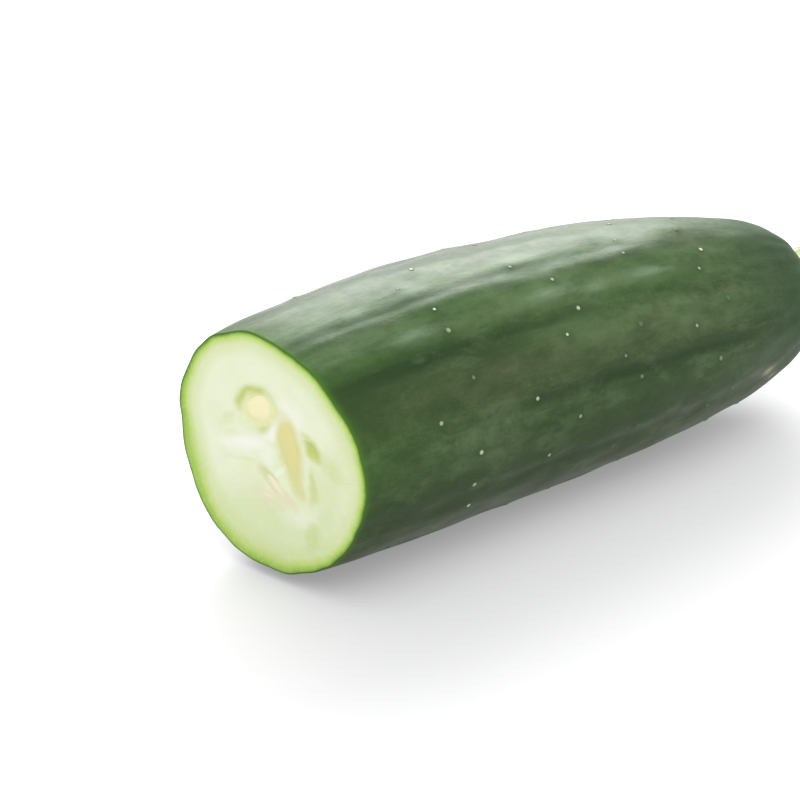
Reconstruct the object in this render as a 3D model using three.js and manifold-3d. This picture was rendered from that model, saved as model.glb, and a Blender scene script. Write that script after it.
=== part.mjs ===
// A cucumber cut across, lying on its side: the fruit as one grown solid, and its stem stub.
// Millimetres, +Z up, +X from the cut towards the stem end. The origin is on the surface the
// cucumber lies on, under the middle of its outline.
import * as THREE from 'three';
import { mergeVertices } from 'three/addons/utils/BufferGeometryUtils.js';
import Module from 'manifold-3d';

const wasm = await Module();
wasm.setup();

// Driving dimensions of the body, along its axis from the middle of the cut
const LENGTH = 164.6;
const CUT_RADIUS = 27;
const BELLY_RADIUS = 29.9;
const BELLY_AT = 60;
const TAPER_POWER = 2.7;
const SHOULDER_POWER = 2.15;
const TIP_POWER = 3.5;

// How the axis runs: a bow to the side, a slight arch and a fall towards the stem end
const SIDE_BOW = 4.5;
const ARCH = 0.56;
const FALL = THREE.MathUtils.degToRad(0.7);

// The section: drawn out a little one way, with three soft corners
const STRETCH = 0.055;
const STRETCH_AT = THREE.MathUtils.degToRad(68);
const CORNER = 0.03;
const CORNER_AT = THREE.MathUtils.degToRad(54);

// Ribs along the skin, which fade out at both ends
const RIBS = 11;
const RIB_DEPTH = 0.35;
const GROOVE_AT = THREE.MathUtils.degToRad(101.5);
const RIB_FADE = 26;

// The stem end: how far its tip lies off the axis, and the dimple round the stem
const TIP_SHIFT = new THREE.Vector3(0, 5, 4.5);
const TIP_SHIFT_POWER = 1.5;
const DIMPLE_DEPTH = 1.4;
const DIMPLE_RADIUS = 7;

// The cut plane, turned towards -Y and tipped back
const CUT_TURN = THREE.MathUtils.degToRad(20.2);
const CUT_TIP = THREE.MathUtils.degToRad(3.4);
const CUT_SPARE = 20;

// The spot the cucumber lies on, pressed flat
const REST_DEPTH = 0.9;

// Warts, in rows along both flanks of each rib
const WART_SEED = 126381;
const WART_FROM = 14;
const WART_TO = 140;
const WART_GAP = 32;
const WART_FLANK = 0.25;
const WART_DRIFT = THREE.MathUtils.degToRad(12);
const WART_RADIUS = 1.05;
const WART_ROOT = 1.2;
const WART_RISE = 0.35;

// Seeds on the cut face, by the millimetres across and up from its middle, and their turn in degrees
const SEEDS = [
  { at: [-1.3, 11.6], length: 10.4, width: 5.2, turn: 30 },
  { at: [6.9, 3.0], length: 16.2, width: 5.4, turn: -77 },
  { at: [3.3, -6.6], length: 9.4, width: 3.0, turn: -42 },
  { at: [-0.6, -9.6], length: 6.2, width: 3.4, turn: 10 },
  { at: [-6.1, -4.6], length: 11.0, width: 3.8, turn: 8 },
];
const SEED_HALF_THICKNESS = 1.7;
const SEED_RISE = 0.35;

// Wet pockets in the seed core, given in the same way
const POCKETS = [
  { at: [-1.9, 11.1], length: 12.4, width: 8.8, turn: 33 },
  { at: [6.5, 2.8], length: 17.6, width: 7.4, turn: -76 },
  { at: [1.9, -5.4], length: 7.2, width: 4.6, turn: -42 },
  { at: [13.2, 5.6], length: 5.6, width: 3.2, turn: -35 },
  { at: [13.4, -3.2], length: 7.0, width: 2.2, turn: -88 },
  { at: [-10.2, 5.6], length: 6.4, width: 3.2, turn: 48 },
];
const POCKET_DEPTH = 0.9;

// The stem stub, set in a socket at the tip
const STUB_LENGTH = 12;
const STUB_RADIUS = 3.7;
const STUB_FLARE = 1.1;
const STUB_RIDGES = 5;
const STUB_RIDGE = 0.3;
const STUB_SET_IN = 1.5;
const STUB_BEND = 1;
const STUB_DIRECTION = new THREE.Vector3(1, 0.02, 0.12).normalize();
const GAP = 0.3;

// How finely the solids are divided
const SIDES_PER_RIB = 8;
const BODY_RINGS = 15;
const DOME_RINGS = 16;
const SEED_SIDES = 14;
const SEED_RINGS = 6;
const WART_SIDES = 6;
const WART_RINGS = 3;
const STUB_SIDES = 30;
const STUB_RINGS = 8;
const SOCKET_SIDES = 24;

// Numbers from 0 to 1 that are the same at every run
function randomDraws(seed) {
  const modulus = 2147483647;
  const multiplier = 48271;
  let state = seed;
  return () => {
    state = (state * multiplier) % modulus;
    return state / modulus;
  };
}

function material(name, color, roughness) {
  return new THREE.MeshStandardMaterial({ name, color, roughness, metalness: 0 });
}

function toSolid(geometry) {
  const bare = geometry.clone();
  bare.deleteAttribute('normal');
  bare.deleteAttribute('uv');
  const merged = mergeVertices(bare);
  return new wasm.Manifold(new wasm.Mesh({
    numProp: 3,
    vertProperties: Float32Array.from(merged.attributes.position.array),
    triVerts: Uint32Array.from(merged.index.array),
  }));
}

function toGeometry(solid) {
  const { vertProperties, triVerts } = solid.getMesh();
  const geometry = new THREE.BufferGeometry();
  geometry.setAttribute('position', new THREE.BufferAttribute(Float32Array.from(vertProperties), 3));
  geometry.setIndex(new THREE.BufferAttribute(Uint32Array.from(triVerts), 1));
  geometry.computeVertexNormals();
  return geometry;
}

// The radius of the plain body of revolution, `along` millimetres from the cut
function plainRadius(along) {
  if (along <= BELLY_AT) {
    return BELLY_RADIUS - (BELLY_RADIUS - CUT_RADIUS) * ((BELLY_AT - along) / BELLY_AT) ** TAPER_POWER;
  }
  const share = Math.min((along - BELLY_AT) / (LENGTH - BELLY_AT), 1);
  return BELLY_RADIUS * (1 - share ** SHOULDER_POWER) ** (1 / TIP_POWER);
}

function axisPoint(along) {
  const share = along / LENGTH;
  const y = SIDE_BOW * 4 * share * (1 - share);
  const z = -ARCH * 4 * (share - 0.5) ** 2 - Math.tan(FALL) * (along - LENGTH / 2);
  return new THREE.Vector3(along, y, z);
}

// The bottom of the dimple, where the stem stands
const tip = axisPoint(LENGTH).add(TIP_SHIFT);
tip.x -= DIMPLE_DEPTH;

// How deep the groove between two ribs is, from 0 on a crest to 1 in the groove
function groove(angle) {
  return (0.5 + 0.5 * Math.cos(RIBS * (angle - GROOVE_AT))) ** 2;
}

// The section's outline at `angle`, as a share of the plain radius
function sectionShare(angle) {
  return 1 + STRETCH * Math.cos(2 * (angle - STRETCH_AT)) + CORNER * Math.cos(3 * (angle - CORNER_AT));
}

// The skin at `along` on the axis and `angle` round it, from +Y towards +Z
function skinPoint(along, angle) {
  const radius = plainRadius(along);
  const slimness = 1 - radius / BELLY_RADIUS;
  const fade = THREE.MathUtils.smoothstep(LENGTH - along, 0, RIB_FADE);
  const reach = radius * sectionShare(angle) - RIB_DEPTH * fade * groove(angle);
  const point = axisPoint(along);
  if (along > BELLY_AT) {
    point.addScaledVector(TIP_SHIFT, slimness ** TIP_SHIFT_POWER);
    point.x -= DIMPLE_DEPTH * Math.exp(-((radius / DIMPLE_RADIUS) ** 2));
  }
  point.y += reach * Math.cos(angle);
  point.z += reach * Math.sin(angle);
  return point;
}

function skinNormal(along, angle) {
  const step = 0.5;
  const turn = step / BELLY_RADIUS;
  const forward = skinPoint(along + step, angle).sub(skinPoint(along - step, angle));
  const round = skinPoint(along, angle + turn).sub(skinPoint(along, angle - turn));
  return round.cross(forward).normalize();
}

// The whole body before it is cut: a lathed outline, bent and ribbed by the formulas above
function uncutBody() {
  const stops = [];
  for (let i = 0; i <= BODY_RINGS; i++) {
    stops.push(THREE.MathUtils.lerp(-CUT_SPARE, BELLY_AT, i / BODY_RINGS));
  }
  for (let i = 1; i < DOME_RINGS; i++) {
    const share = Math.sin((i / DOME_RINGS) * Math.PI / 2) ** (2 / SHOULDER_POWER);
    stops.push(THREE.MathUtils.lerp(BELLY_AT, LENGTH, share));
  }
  const outline = [
    new THREE.Vector2(0, -CUT_SPARE),
    ...stops.map((along) => new THREE.Vector2(plainRadius(along), along)),
    new THREE.Vector2(0, LENGTH),
  ];
  const geometry = new THREE.LatheGeometry(outline, RIBS * SIDES_PER_RIB);
  const position = geometry.attributes.position;
  for (let i = 0; i < position.count; i++) {
    const along = position.getY(i);
    const side = position.getX(i);
    const depth = position.getZ(i);
    const onAxis = Math.hypot(side, depth) < 1e-6;
    const pole = along === LENGTH ? tip : axisPoint(along);
    const point = onAxis ? pole : skinPoint(along, Math.atan2(side, depth));
    position.setXYZ(i, point.x, point.y, point.z);
  }
  return toSolid(geometry);
}

// The frame of the cut face: across to the right, up, and straight out of the face
const cutOut = new THREE.Vector3(-1, -Math.tan(CUT_TURN), Math.tan(CUT_TIP)).normalize();
const cutAcross = new THREE.Vector3().crossVectors(new THREE.Vector3(0, 0, 1), cutOut).normalize();
const cutUp = new THREE.Vector3().crossVectors(cutOut, cutAcross);
const cutMiddle = axisPoint(0);

function onCutFace([across, up], out) {
  return cutMiddle.clone()
    .addScaledVector(cutAcross, across)
    .addScaledVector(cutUp, up)
    .addScaledVector(cutOut, out);
}

// A block whose near face lies on the cut plane, to take away everything beyond it
function beyondCut() {
  const size = 4 * BELLY_RADIUS;
  const block = new THREE.BoxGeometry(size, size, size);
  block.translate(0, 0, size / 2);
  block.applyMatrix4(new THREE.Matrix4().makeBasis(cutAcross, cutUp, cutOut));
  block.translate(...cutMiddle);
  return toSolid(block);
}

function lens({ at, length, width, turn }, halfThickness, out) {
  const geometry = new THREE.SphereGeometry(1, SEED_SIDES, SEED_RINGS);
  geometry.rotateX(Math.PI / 2);
  geometry.scale(length / 2, width / 2, halfThickness);
  geometry.rotateZ(THREE.MathUtils.degToRad(turn));
  geometry.applyMatrix4(new THREE.Matrix4().makeBasis(cutAcross, cutUp, cutOut));
  geometry.translate(...onCutFace(at, out));
  return toSolid(geometry);
}

const seed = (place) => lens(place, SEED_HALF_THICKNESS, SEED_RISE - SEED_HALF_THICKNESS);
const pocket = (place) => lens(place, POCKET_DEPTH, 0);

function wart(along, angle) {
  const normal = skinNormal(along, angle);
  const geometry = new THREE.SphereGeometry(1, WART_SIDES, WART_RINGS);
  geometry.rotateX(Math.PI / 2);
  geometry.scale(WART_RADIUS, WART_RADIUS, WART_ROOT);
  geometry.applyQuaternion(new THREE.Quaternion().setFromUnitVectors(new THREE.Vector3(0, 0, 1), normal));
  geometry.translate(...skinPoint(along, angle).addScaledVector(normal, WART_RISE - WART_ROOT));
  return toSolid(geometry);
}

// The warts stand at drawn distances in two rows on each rib, one on each flank
function warts() {
  const draw = randomDraws(WART_SEED);
  const pitch = (2 * Math.PI) / RIBS;
  const placed = [];
  for (let rib = 0; rib < RIBS; rib++) {
    for (const flank of [-WART_FLANK, WART_FLANK]) {
      const row = GROOVE_AT + (rib + 0.5 + flank) * pitch;
      let along = WART_FROM + WART_GAP * draw();
      while (along < WART_TO) {
        placed.push(wart(along, row + WART_DRIFT * (draw() - 0.5)));
        along += WART_GAP * (0.6 + 0.8 * draw());
      }
    }
  }
  return placed;
}

const alongStub = new THREE.Quaternion().setFromUnitVectors(new THREE.Vector3(0, 0, 1), STUB_DIRECTION);

function stubRadius(height) {
  return STUB_RADIUS + STUB_FLARE * Math.exp(-height / STUB_RADIUS);
}

// The stub is lathed on its base, drawn out into soft ridges and bent upwards
function stubGeometry() {
  const outline = [new THREE.Vector2(0, 0)];
  for (let i = 0; i <= STUB_RINGS; i++) {
    const height = (STUB_LENGTH * i) / STUB_RINGS;
    outline.push(new THREE.Vector2(stubRadius(height), height));
  }
  outline.push(new THREE.Vector2(0, STUB_LENGTH));
  const geometry = new THREE.LatheGeometry(outline, STUB_SIDES);
  const position = geometry.attributes.position;
  for (let i = 0; i < position.count; i++) {
    const radius = Math.hypot(position.getX(i), position.getZ(i));
    const angle = Math.atan2(position.getX(i), position.getZ(i));
    const share = radius / STUB_RADIUS;
    const scale = 1 + (STUB_RIDGE / STUB_RADIUS) * Math.cos(STUB_RIDGES * angle) * Math.min(share, 1);
    const bend = STUB_BEND * (position.getY(i) / STUB_LENGTH) ** 2;
    position.setX(i, position.getX(i) * scale - bend);
    position.setZ(i, position.getZ(i) * scale);
  }
  geometry.rotateX(Math.PI / 2);
  geometry.translate(0, 0, -STUB_SET_IN);
  geometry.applyQuaternion(alongStub);
  geometry.translate(...tip);
  return geometry;
}

// The socket is wider and deeper than the stub by the gap
function socket() {
  const radius = stubRadius(0) + STUB_RIDGE + GAP;
  const depth = STUB_SET_IN + GAP;
  const height = depth + 3 * STUB_SET_IN;
  const geometry = new THREE.CylinderGeometry(radius, radius, height, SOCKET_SIDES);
  geometry.rotateX(Math.PI / 2);
  geometry.translate(0, 0, height / 2 - depth);
  geometry.applyQuaternion(alongStub);
  geometry.translate(...tip);
  return toSolid(geometry);
}

// A block whose top is REST_DEPTH above the lowest point of the skin
function belowRest(body) {
  const size = 2 * LENGTH;
  const { min } = body.boundingBox();
  const block = new THREE.BoxGeometry(size, size, size);
  block.translate(0, 0, min[2] + REST_DEPTH - size / 2);
  return toSolid(block);
}

function fruitSolid() {
  const body = uncutBody();
  let solid = wasm.Manifold.union([body, ...warts()]);
  solid = solid.subtract(beyondCut()).subtract(belowRest(body));
  for (const place of POCKETS) {
    solid = solid.subtract(pocket(place));
  }
  for (const place of SEEDS) {
    solid = solid.add(seed(place));
  }
  return solid.subtract(socket());
}

const fruitGeometry = toGeometry(fruitSolid());
const stubOnFruit = toGeometry(toSolid(stubGeometry()));

// Move both so that the origin is under the middle of their common outline
const outlineBox = new THREE.Box3();
for (const geometry of [fruitGeometry, stubOnFruit]) {
  geometry.computeBoundingBox();
  outlineBox.union(geometry.boundingBox);
}
const middle = outlineBox.getCenter(new THREE.Vector3());
for (const geometry of [fruitGeometry, stubOnFruit]) {
  geometry.translate(-middle.x, -middle.y, -outlineBox.min.z);
}

const fruit = new THREE.Mesh(fruitGeometry, material('skin', 0x3f5b35, 0.42));
fruit.name = 'fruit';

const stemStub = new THREE.Mesh(stubOnFruit, material('stem', 0xc9cfa6, 0.7));
stemStub.name = 'stem_stub';

const cucumber = new THREE.Group();
cucumber.name = 'cucumber';
cucumber.add(fruit, stemStub);

export default cucumber;
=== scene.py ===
"""A cucumber cut across, lying on its side on a pale floor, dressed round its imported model.

Blender's metres, +Z up, +X from the cut towards the stem end. The form itself is worked out in
millimetres from the middle of the cut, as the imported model's is, and then moved into place.
"""

import logging
import math
from collections.abc import Callable, Iterator
from contextlib import contextmanager
from dataclasses import dataclass
from enum import Enum
from typing import TypeVar

import bpy
import numpy as np
from mathutils import Matrix, Quaternion, Vector, noise


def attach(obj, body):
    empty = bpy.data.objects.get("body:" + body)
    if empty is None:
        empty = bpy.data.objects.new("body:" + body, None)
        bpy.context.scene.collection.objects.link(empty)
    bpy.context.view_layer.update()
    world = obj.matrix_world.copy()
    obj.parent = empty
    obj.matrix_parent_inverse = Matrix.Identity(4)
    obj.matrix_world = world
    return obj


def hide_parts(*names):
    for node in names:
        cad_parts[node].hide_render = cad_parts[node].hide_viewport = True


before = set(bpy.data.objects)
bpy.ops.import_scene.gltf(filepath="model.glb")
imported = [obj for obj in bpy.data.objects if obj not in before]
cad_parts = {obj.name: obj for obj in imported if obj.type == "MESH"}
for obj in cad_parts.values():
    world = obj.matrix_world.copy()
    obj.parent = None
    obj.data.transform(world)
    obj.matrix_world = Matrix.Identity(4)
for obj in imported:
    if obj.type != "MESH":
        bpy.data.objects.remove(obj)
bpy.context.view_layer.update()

LOG = logging.getLogger("cucumber")
MM = 0.001
BODY = "root"
FRUIT = "fruit"
STEM_STUB = "stem_stub"
SEAM = 0.004

Pair = tuple[float, float]
Triple = tuple[float, float, float]
Colour = Triple
Span = tuple[float, ...]
Values = np.ndarray
Place = Callable[[Values, Values], tuple[Values, dict[str, Values]]]
Row = TypeVar("Row")


class Slot(Enum):
    """The record's material slots."""

    SKIN = "skin"
    FLESH = "flesh"
    SEED = "seed"
    STEM = "stem"


class Draws:
    """Numbers from 0 to 1 that are the same at every run."""

    MODULUS = 2147483647
    MULTIPLIER = 48271

    def __init__(self, seed: int) -> None:
        """Starts the row of numbers at a seed."""
        self.state = seed

    def next(self) -> float:
        """Returns the next number."""
        self.state = self.state * self.MULTIPLIER % self.MODULUS
        return self.state / self.MODULUS

    def between(self, low: float, high: float) -> float:
        """Returns the next number, spread from low to high."""
        return low + (high - low) * self.next()


def ease(value: Values, start: float, end: float) -> Values:
    """Eases from 0 at start to 1 at end, level at both.

    Args:
        value: The numbers to ease.
        start: Where the result leaves 0.
        end: Where it reaches 1.

    Returns:
        One number from 0 to 1 for each value.
    """
    share = np.clip((value - start) / (end - start), 0.0, 1.0)
    return share * share * (3.0 - 2.0 * share)


def ripple(points: Values, size: float, shift: float = 0.0) -> Values:
    """Smooth noise at points.

    Args:
        points: Rows of three coordinates.
        size: How far apart the noise's hills stand, in the points' unit.
        shift: A step into another part of the noise.

    Returns:
        One number from about -1 to 1 for each point.
    """
    scaled = points.reshape(-1, 3) / size + shift
    heights = [noise.noise(Vector(point)) for point in scaled]
    return np.array(heights).reshape(points.shape[:-1])


def ripples(points: Values, sizes: Pair, shift: float) -> Values:
    """Smooth noise of two sizes, the second at half strength and from another part of the noise."""
    return ripple(points, sizes[0]) + 0.5 * ripple(points, sizes[1], shift)


def rows_of(kind: Callable[..., Row], *rows: tuple) -> tuple[Row, ...]:
    """Makes a table: one thing of a kind for each row of its values."""
    return tuple(kind(*row) for row in rows)


def turned_from(angle: Values, middle: float) -> Values:
    """How far angles are turned from a middle one, from minus to plus half a turn."""
    return (angle - middle + math.pi) % math.tau - math.pi


@dataclass(frozen=True)
class FruitForm:
    """The fruit's form by formula, in millimetres from the middle of the cut.

    `along` runs along the axis from the cut, and `angle` runs round it, from +Y towards +Z.
    """

    length: float = 164.6
    cut_radius: float = 27.0
    belly_radius: float = 29.9
    belly_at: float = 60.0
    taper_power: float = 2.7
    shoulder_power: float = 2.15
    tip_power: float = 3.5
    side_bow: float = 4.5
    arch: float = 0.56
    fall: float = math.radians(0.7)
    stretch: float = 0.055
    stretch_at: float = math.radians(68)
    corner: float = 0.03
    corner_at: float = math.radians(54)
    ribs: int = 11
    rib_depth: float = 0.35
    groove_at: float = math.radians(101.5)
    rib_fade: float = 26.0
    tip_shift: Triple = (0.0, 5.0, 4.5)
    tip_shift_power: float = 1.5
    dimple_depth: float = 1.4
    dimple_radius: float = 7.0
    cut_turn: float = math.radians(20.2)
    cut_tip: float = math.radians(3.4)
    cut_tries: int = 12
    into_frame: Triple = (-82.754, -2.853, 30.114)

    def plain_radius(self, along: Values) -> Values:
        """The radius before stretch, corners and ribs.

        Args:
            along: Places on the axis.

        Returns:
            The radius at each place.
        """
        before = np.clip((self.belly_at - along) / self.belly_at, 0.0, None)
        narrow = (self.belly_radius - self.cut_radius) * before**self.taper_power
        share = np.clip((along - self.belly_at) / (self.length - self.belly_at), 0.0, 1.0)
        dome = self.belly_radius * (1.0 - share**self.shoulder_power) ** (1.0 / self.tip_power)
        return np.where(along <= self.belly_at, self.belly_radius - narrow, dome)

    def axis(self, along: Values) -> Values:
        """The axis' points.

        Args:
            along: Places on the axis.

        Returns:
            The point at each place, in millimetres from the middle of the cut.
        """
        share = along / self.length
        side = self.side_bow * 4.0 * share * (1.0 - share)
        fall = math.tan(self.fall) * (along - self.length / 2)
        rise = -self.arch * 4.0 * (share - 0.5) ** 2 - fall
        return np.stack([along, side, rise], -1)

    def groove(self, angle: Values) -> Values:
        """How deep the groove between two ribs is, from 0 on a crest to 1 in the groove."""
        return (0.5 + 0.5 * np.cos(self.ribs * (angle - self.groove_at))) ** 2

    def section(self, angle: Values) -> Values:
        """The section's outline as a share of the plain radius."""
        stretch = self.stretch * np.cos(2.0 * (angle - self.stretch_at))
        return 1.0 + stretch + self.corner * np.cos(3.0 * (angle - self.corner_at))

    def skin(self, along: Values, angle: Values, relief: Values | float = 0.0) -> Values:
        """Points on the skin.

        Args:
            along: Places on the axis.
            angle: Angles round the axis, in the same shape.
            relief: How far the skin stands out from the plain form there.

        Returns:
            The points, in millimetres from the middle of the cut.
        """
        radius = self.plain_radius(along)
        fade = ease(self.length - along, 0.0, self.rib_fade)
        reach = radius * self.section(angle) - self.rib_depth * fade * self.groove(angle)
        reach = reach + relief * ease(radius, 0.0, self.cut_radius / 2)
        point = self.axis(along)
        past = along > self.belly_at
        slimness = np.where(past, 1.0 - radius / self.belly_radius, 0.0)
        lean = slimness**self.tip_shift_power
        dimple = self.dimple_depth * np.exp(-((radius / self.dimple_radius) ** 2))
        point[..., 0] -= np.where(past, dimple, 0.0)
        point[..., 1] += reach * np.cos(angle) + self.tip_shift[1] * lean
        point[..., 2] += reach * np.sin(angle) + self.tip_shift[2] * lean
        return point

    def skin_normal(self, along: float, angle: float) -> Vector:
        """The plain skin's outward direction at one place.

        Args:
            along: The place on the axis.
            angle: The angle round it.

        Returns:
            A direction of length 1.
        """
        step = 0.5
        turn = step / self.belly_radius
        ends = self.skin(
            np.array([along + step, along - step, along, along]),
            np.array([angle, angle, angle + turn, angle - turn]),
        )
        return Vector(np.cross(ends[2] - ends[3], ends[0] - ends[1])).normalized()

    @property
    def cut_frame(self) -> tuple[Values, Values, Values]:
        """The cut face's directions.

        Returns:
            The directions across to the right, up, and straight out.
        """
        out = np.array([-1.0, -math.tan(self.cut_turn), math.tan(self.cut_tip)])
        out /= np.linalg.norm(out)
        across = np.cross([0.0, 0.0, 1.0], out)
        across /= np.linalg.norm(across)
        return across, np.cross(out, across), out

    @property
    def cut_middle(self) -> Values:
        """The axis' point on the cut."""
        return self.axis(np.array(0.0))

    @property
    def tip(self) -> Values:
        """The bottom of the dimple, where the stem stands."""
        lean = np.array(self.tip_shift) - [self.dimple_depth, 0.0, 0.0]
        return self.axis(np.array(self.length)) + lean

    def on_cut(self, across: Values, up: Values, out: Values | float) -> Values:
        """Points given in the cut face's own directions.

        Args:
            across: Millimetres to the right of the face's middle.
            up: Millimetres above it.
            out: Millimetres in front of the face.

        Returns:
            The points, in millimetres from the middle of the cut.
        """
        right, rise, front = self.cut_frame
        parts = [
            np.multiply.outer(np.broadcast_to(value, np.shape(across)), way)
            for value, way in ((across, right), (up, rise), (out, front))
        ]
        return self.cut_middle + parts[0] + parts[1] + parts[2]

    def cut_start(self, angle: Values, relief: Callable[[Values, Values], Values]) -> Values:
        """Where the skin meets the cut.

        Args:
            angle: Angles round the axis.
            relief: The skin's relief at places along and angles round the axis.

        Returns:
            The place along the axis at each angle.
        """
        out = self.cut_frame[2]
        along = np.zeros_like(angle)
        for _ in range(self.cut_tries):
            beyond = (self.skin(along, angle, relief(along, angle)) - self.cut_middle) @ out
            along = along - beyond / out[0]
        return along

    def placed(self, points: Values) -> Values:
        """Moves points from the form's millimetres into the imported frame's metres."""
        return (points + np.array(self.into_frame)) * MM


@dataclass(frozen=True)
class WartRow:
    """Where the warts stand: at drawn distances in two rows on each rib, one on each flank."""

    seed: int = 126381
    start: float = 14.0
    end: float = 140.0
    gap: float = 32.0
    flank: float = 0.25
    drift: float = math.radians(12)

    def places(self, form: FruitForm) -> list[Pair]:
        """Lists every wart.

        Args:
            form: The fruit that the warts stand on.

        Returns:
            The place along the axis and the angle round it, for each wart.
        """
        draws = Draws(self.seed)
        pitch = 2.0 * math.pi / form.ribs
        found = []
        for rib in range(form.ribs):
            for flank in (-self.flank, self.flank):
                row = form.groove_at + (rib + 0.5 + flank) * pitch
                along = self.start + self.gap * draws.next()
                while along < self.end:
                    found.append((along, row + self.drift * (draws.next() - 0.5)))
                    along += self.gap * (0.6 + 0.8 * draws.next())
        return found


@dataclass(frozen=True)
class Furrow:
    """A fine furrow along the skin, with a soft lip on one side, in millimetres and degrees."""

    angle: float
    start: float
    end: float
    depth: float
    width: float
    lip: float = 0.0
    wander: float = 1.2
    fade: float = 22.0
    lip_at: float = 2.0
    wander_length: float = 23.0

    def profile(self, along: Values, angle: Values, radius: float) -> tuple[Values, Values]:
        """The furrow's shape.

        Args:
            along: Places on the axis.
            angle: Angles round it, in radians.
            radius: The skin's radius, for distances round it.

        Returns:
            How far the skin sinks, in millimetres, and how much it belongs to the furrow, 0 to 1.
        """
        sway = math.radians(self.wander) * np.sin(along / self.wander_length + self.angle)
        aside = turned_from(angle, math.radians(self.angle) + sway) * radius
        reach = ease(along, self.start - self.fade, self.start + self.fade)
        reach = reach * (1.0 - ease(along, self.end - self.fade, self.end + self.fade))
        line = np.exp(-((aside / self.width) ** 2)) * reach
        raised = np.exp(-(((aside - self.lip_at * self.width) / self.width) ** 2)) * reach
        return self.depth * line - self.lip * raised, line


class SkinTone(Enum):
    """The tones of the skin's patches, each with the colour it is mixed from. Light, dark and bloom
    patches also carry painted highlight, sheen and shade.
    """

    LEAF = (0.034, 0.090, 0.015)
    OLIVE = (0.050, 0.064, 0.026)
    # Part lighter skin, part painted highlight on the rib crests and painted reflection on the
    # front ribs.
    LIGHT = (0.084, 0.136, 0.054)
    # Part darker skin, part painted shade in the grooves and on the lower front side.
    DARK = (0.013, 0.036, 0.005)
    # Part the wax's pale bloom, part painted sheen and highlight on the lit top and the rib crests.
    BLOOM = (0.180, 0.250, 0.160)
    SCAR = (0.330, 0.290, 0.200)


@dataclass(frozen=True)
class SkinMark:
    """A soft patch of a tone on the skin, drawn out along it, in millimetres and degrees."""

    along: float
    angle: float
    length: float
    width: float
    strength: float

    def spread(self, along: Values, angle: Values, radius: float) -> Values:
        """How strong the patch is at each place.

        Args:
            along: Places on the axis.
            angle: Angles round it, in radians.
            radius: The skin's radius, for distances round it.

        Returns:
            One number from 0 to the patch's strength for each place.
        """
        aside = turned_from(angle, math.radians(self.angle)) * radius
        far = ((along - self.along) / self.length) ** 2 + (aside / self.width) ** 2
        return self.strength * np.exp(-2.0 * far)


class Signal:
    """A socket of a material's nodes that takes part in Python sums."""

    def __init__(self, board: "NodeBoard", socket: bpy.types.NodeSocket) -> None:
        """Wraps a socket of a board."""
        self.board = board
        self.socket = socket

    def _sum(self, operation: str, first: "Signal | float", second: "Signal | float") -> "Signal":
        """Adds a Math node for an operation on two values."""
        return self.board.add("ShaderNodeMath", {"operation": operation}, {0: first, 1: second})

    def __add__(self, other: "Signal | float") -> "Signal":
        """Self plus other."""
        return self._sum("ADD", self, other)

    def __radd__(self, other: float) -> "Signal":
        """Other plus self."""
        return self._sum("ADD", other, self)

    def __sub__(self, other: "Signal | float") -> "Signal":
        """Self minus other."""
        return self._sum("SUBTRACT", self, other)

    def __rsub__(self, other: float) -> "Signal":
        """Other minus self."""
        return self._sum("SUBTRACT", other, self)

    def __mul__(self, other: "Signal | float") -> "Signal":
        """Self times other."""
        return self._sum("MULTIPLY", self, other)

    def __rmul__(self, other: float) -> "Signal":
        """Other times self."""
        return self._sum("MULTIPLY", other, self)


@dataclass(frozen=True)
class Grain:
    """Noise for a finish: how many hills stand on a unit, and how many and how strong finer layers.

    Where `stretch` is given, the coordinates are scaled by it along each axis and then moved.
    """

    hills: float
    detail: float
    roughness: float = 0.5
    stretch: Triple | None = None
    move: Triple = (0.0, 0.0, 0.0)


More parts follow.
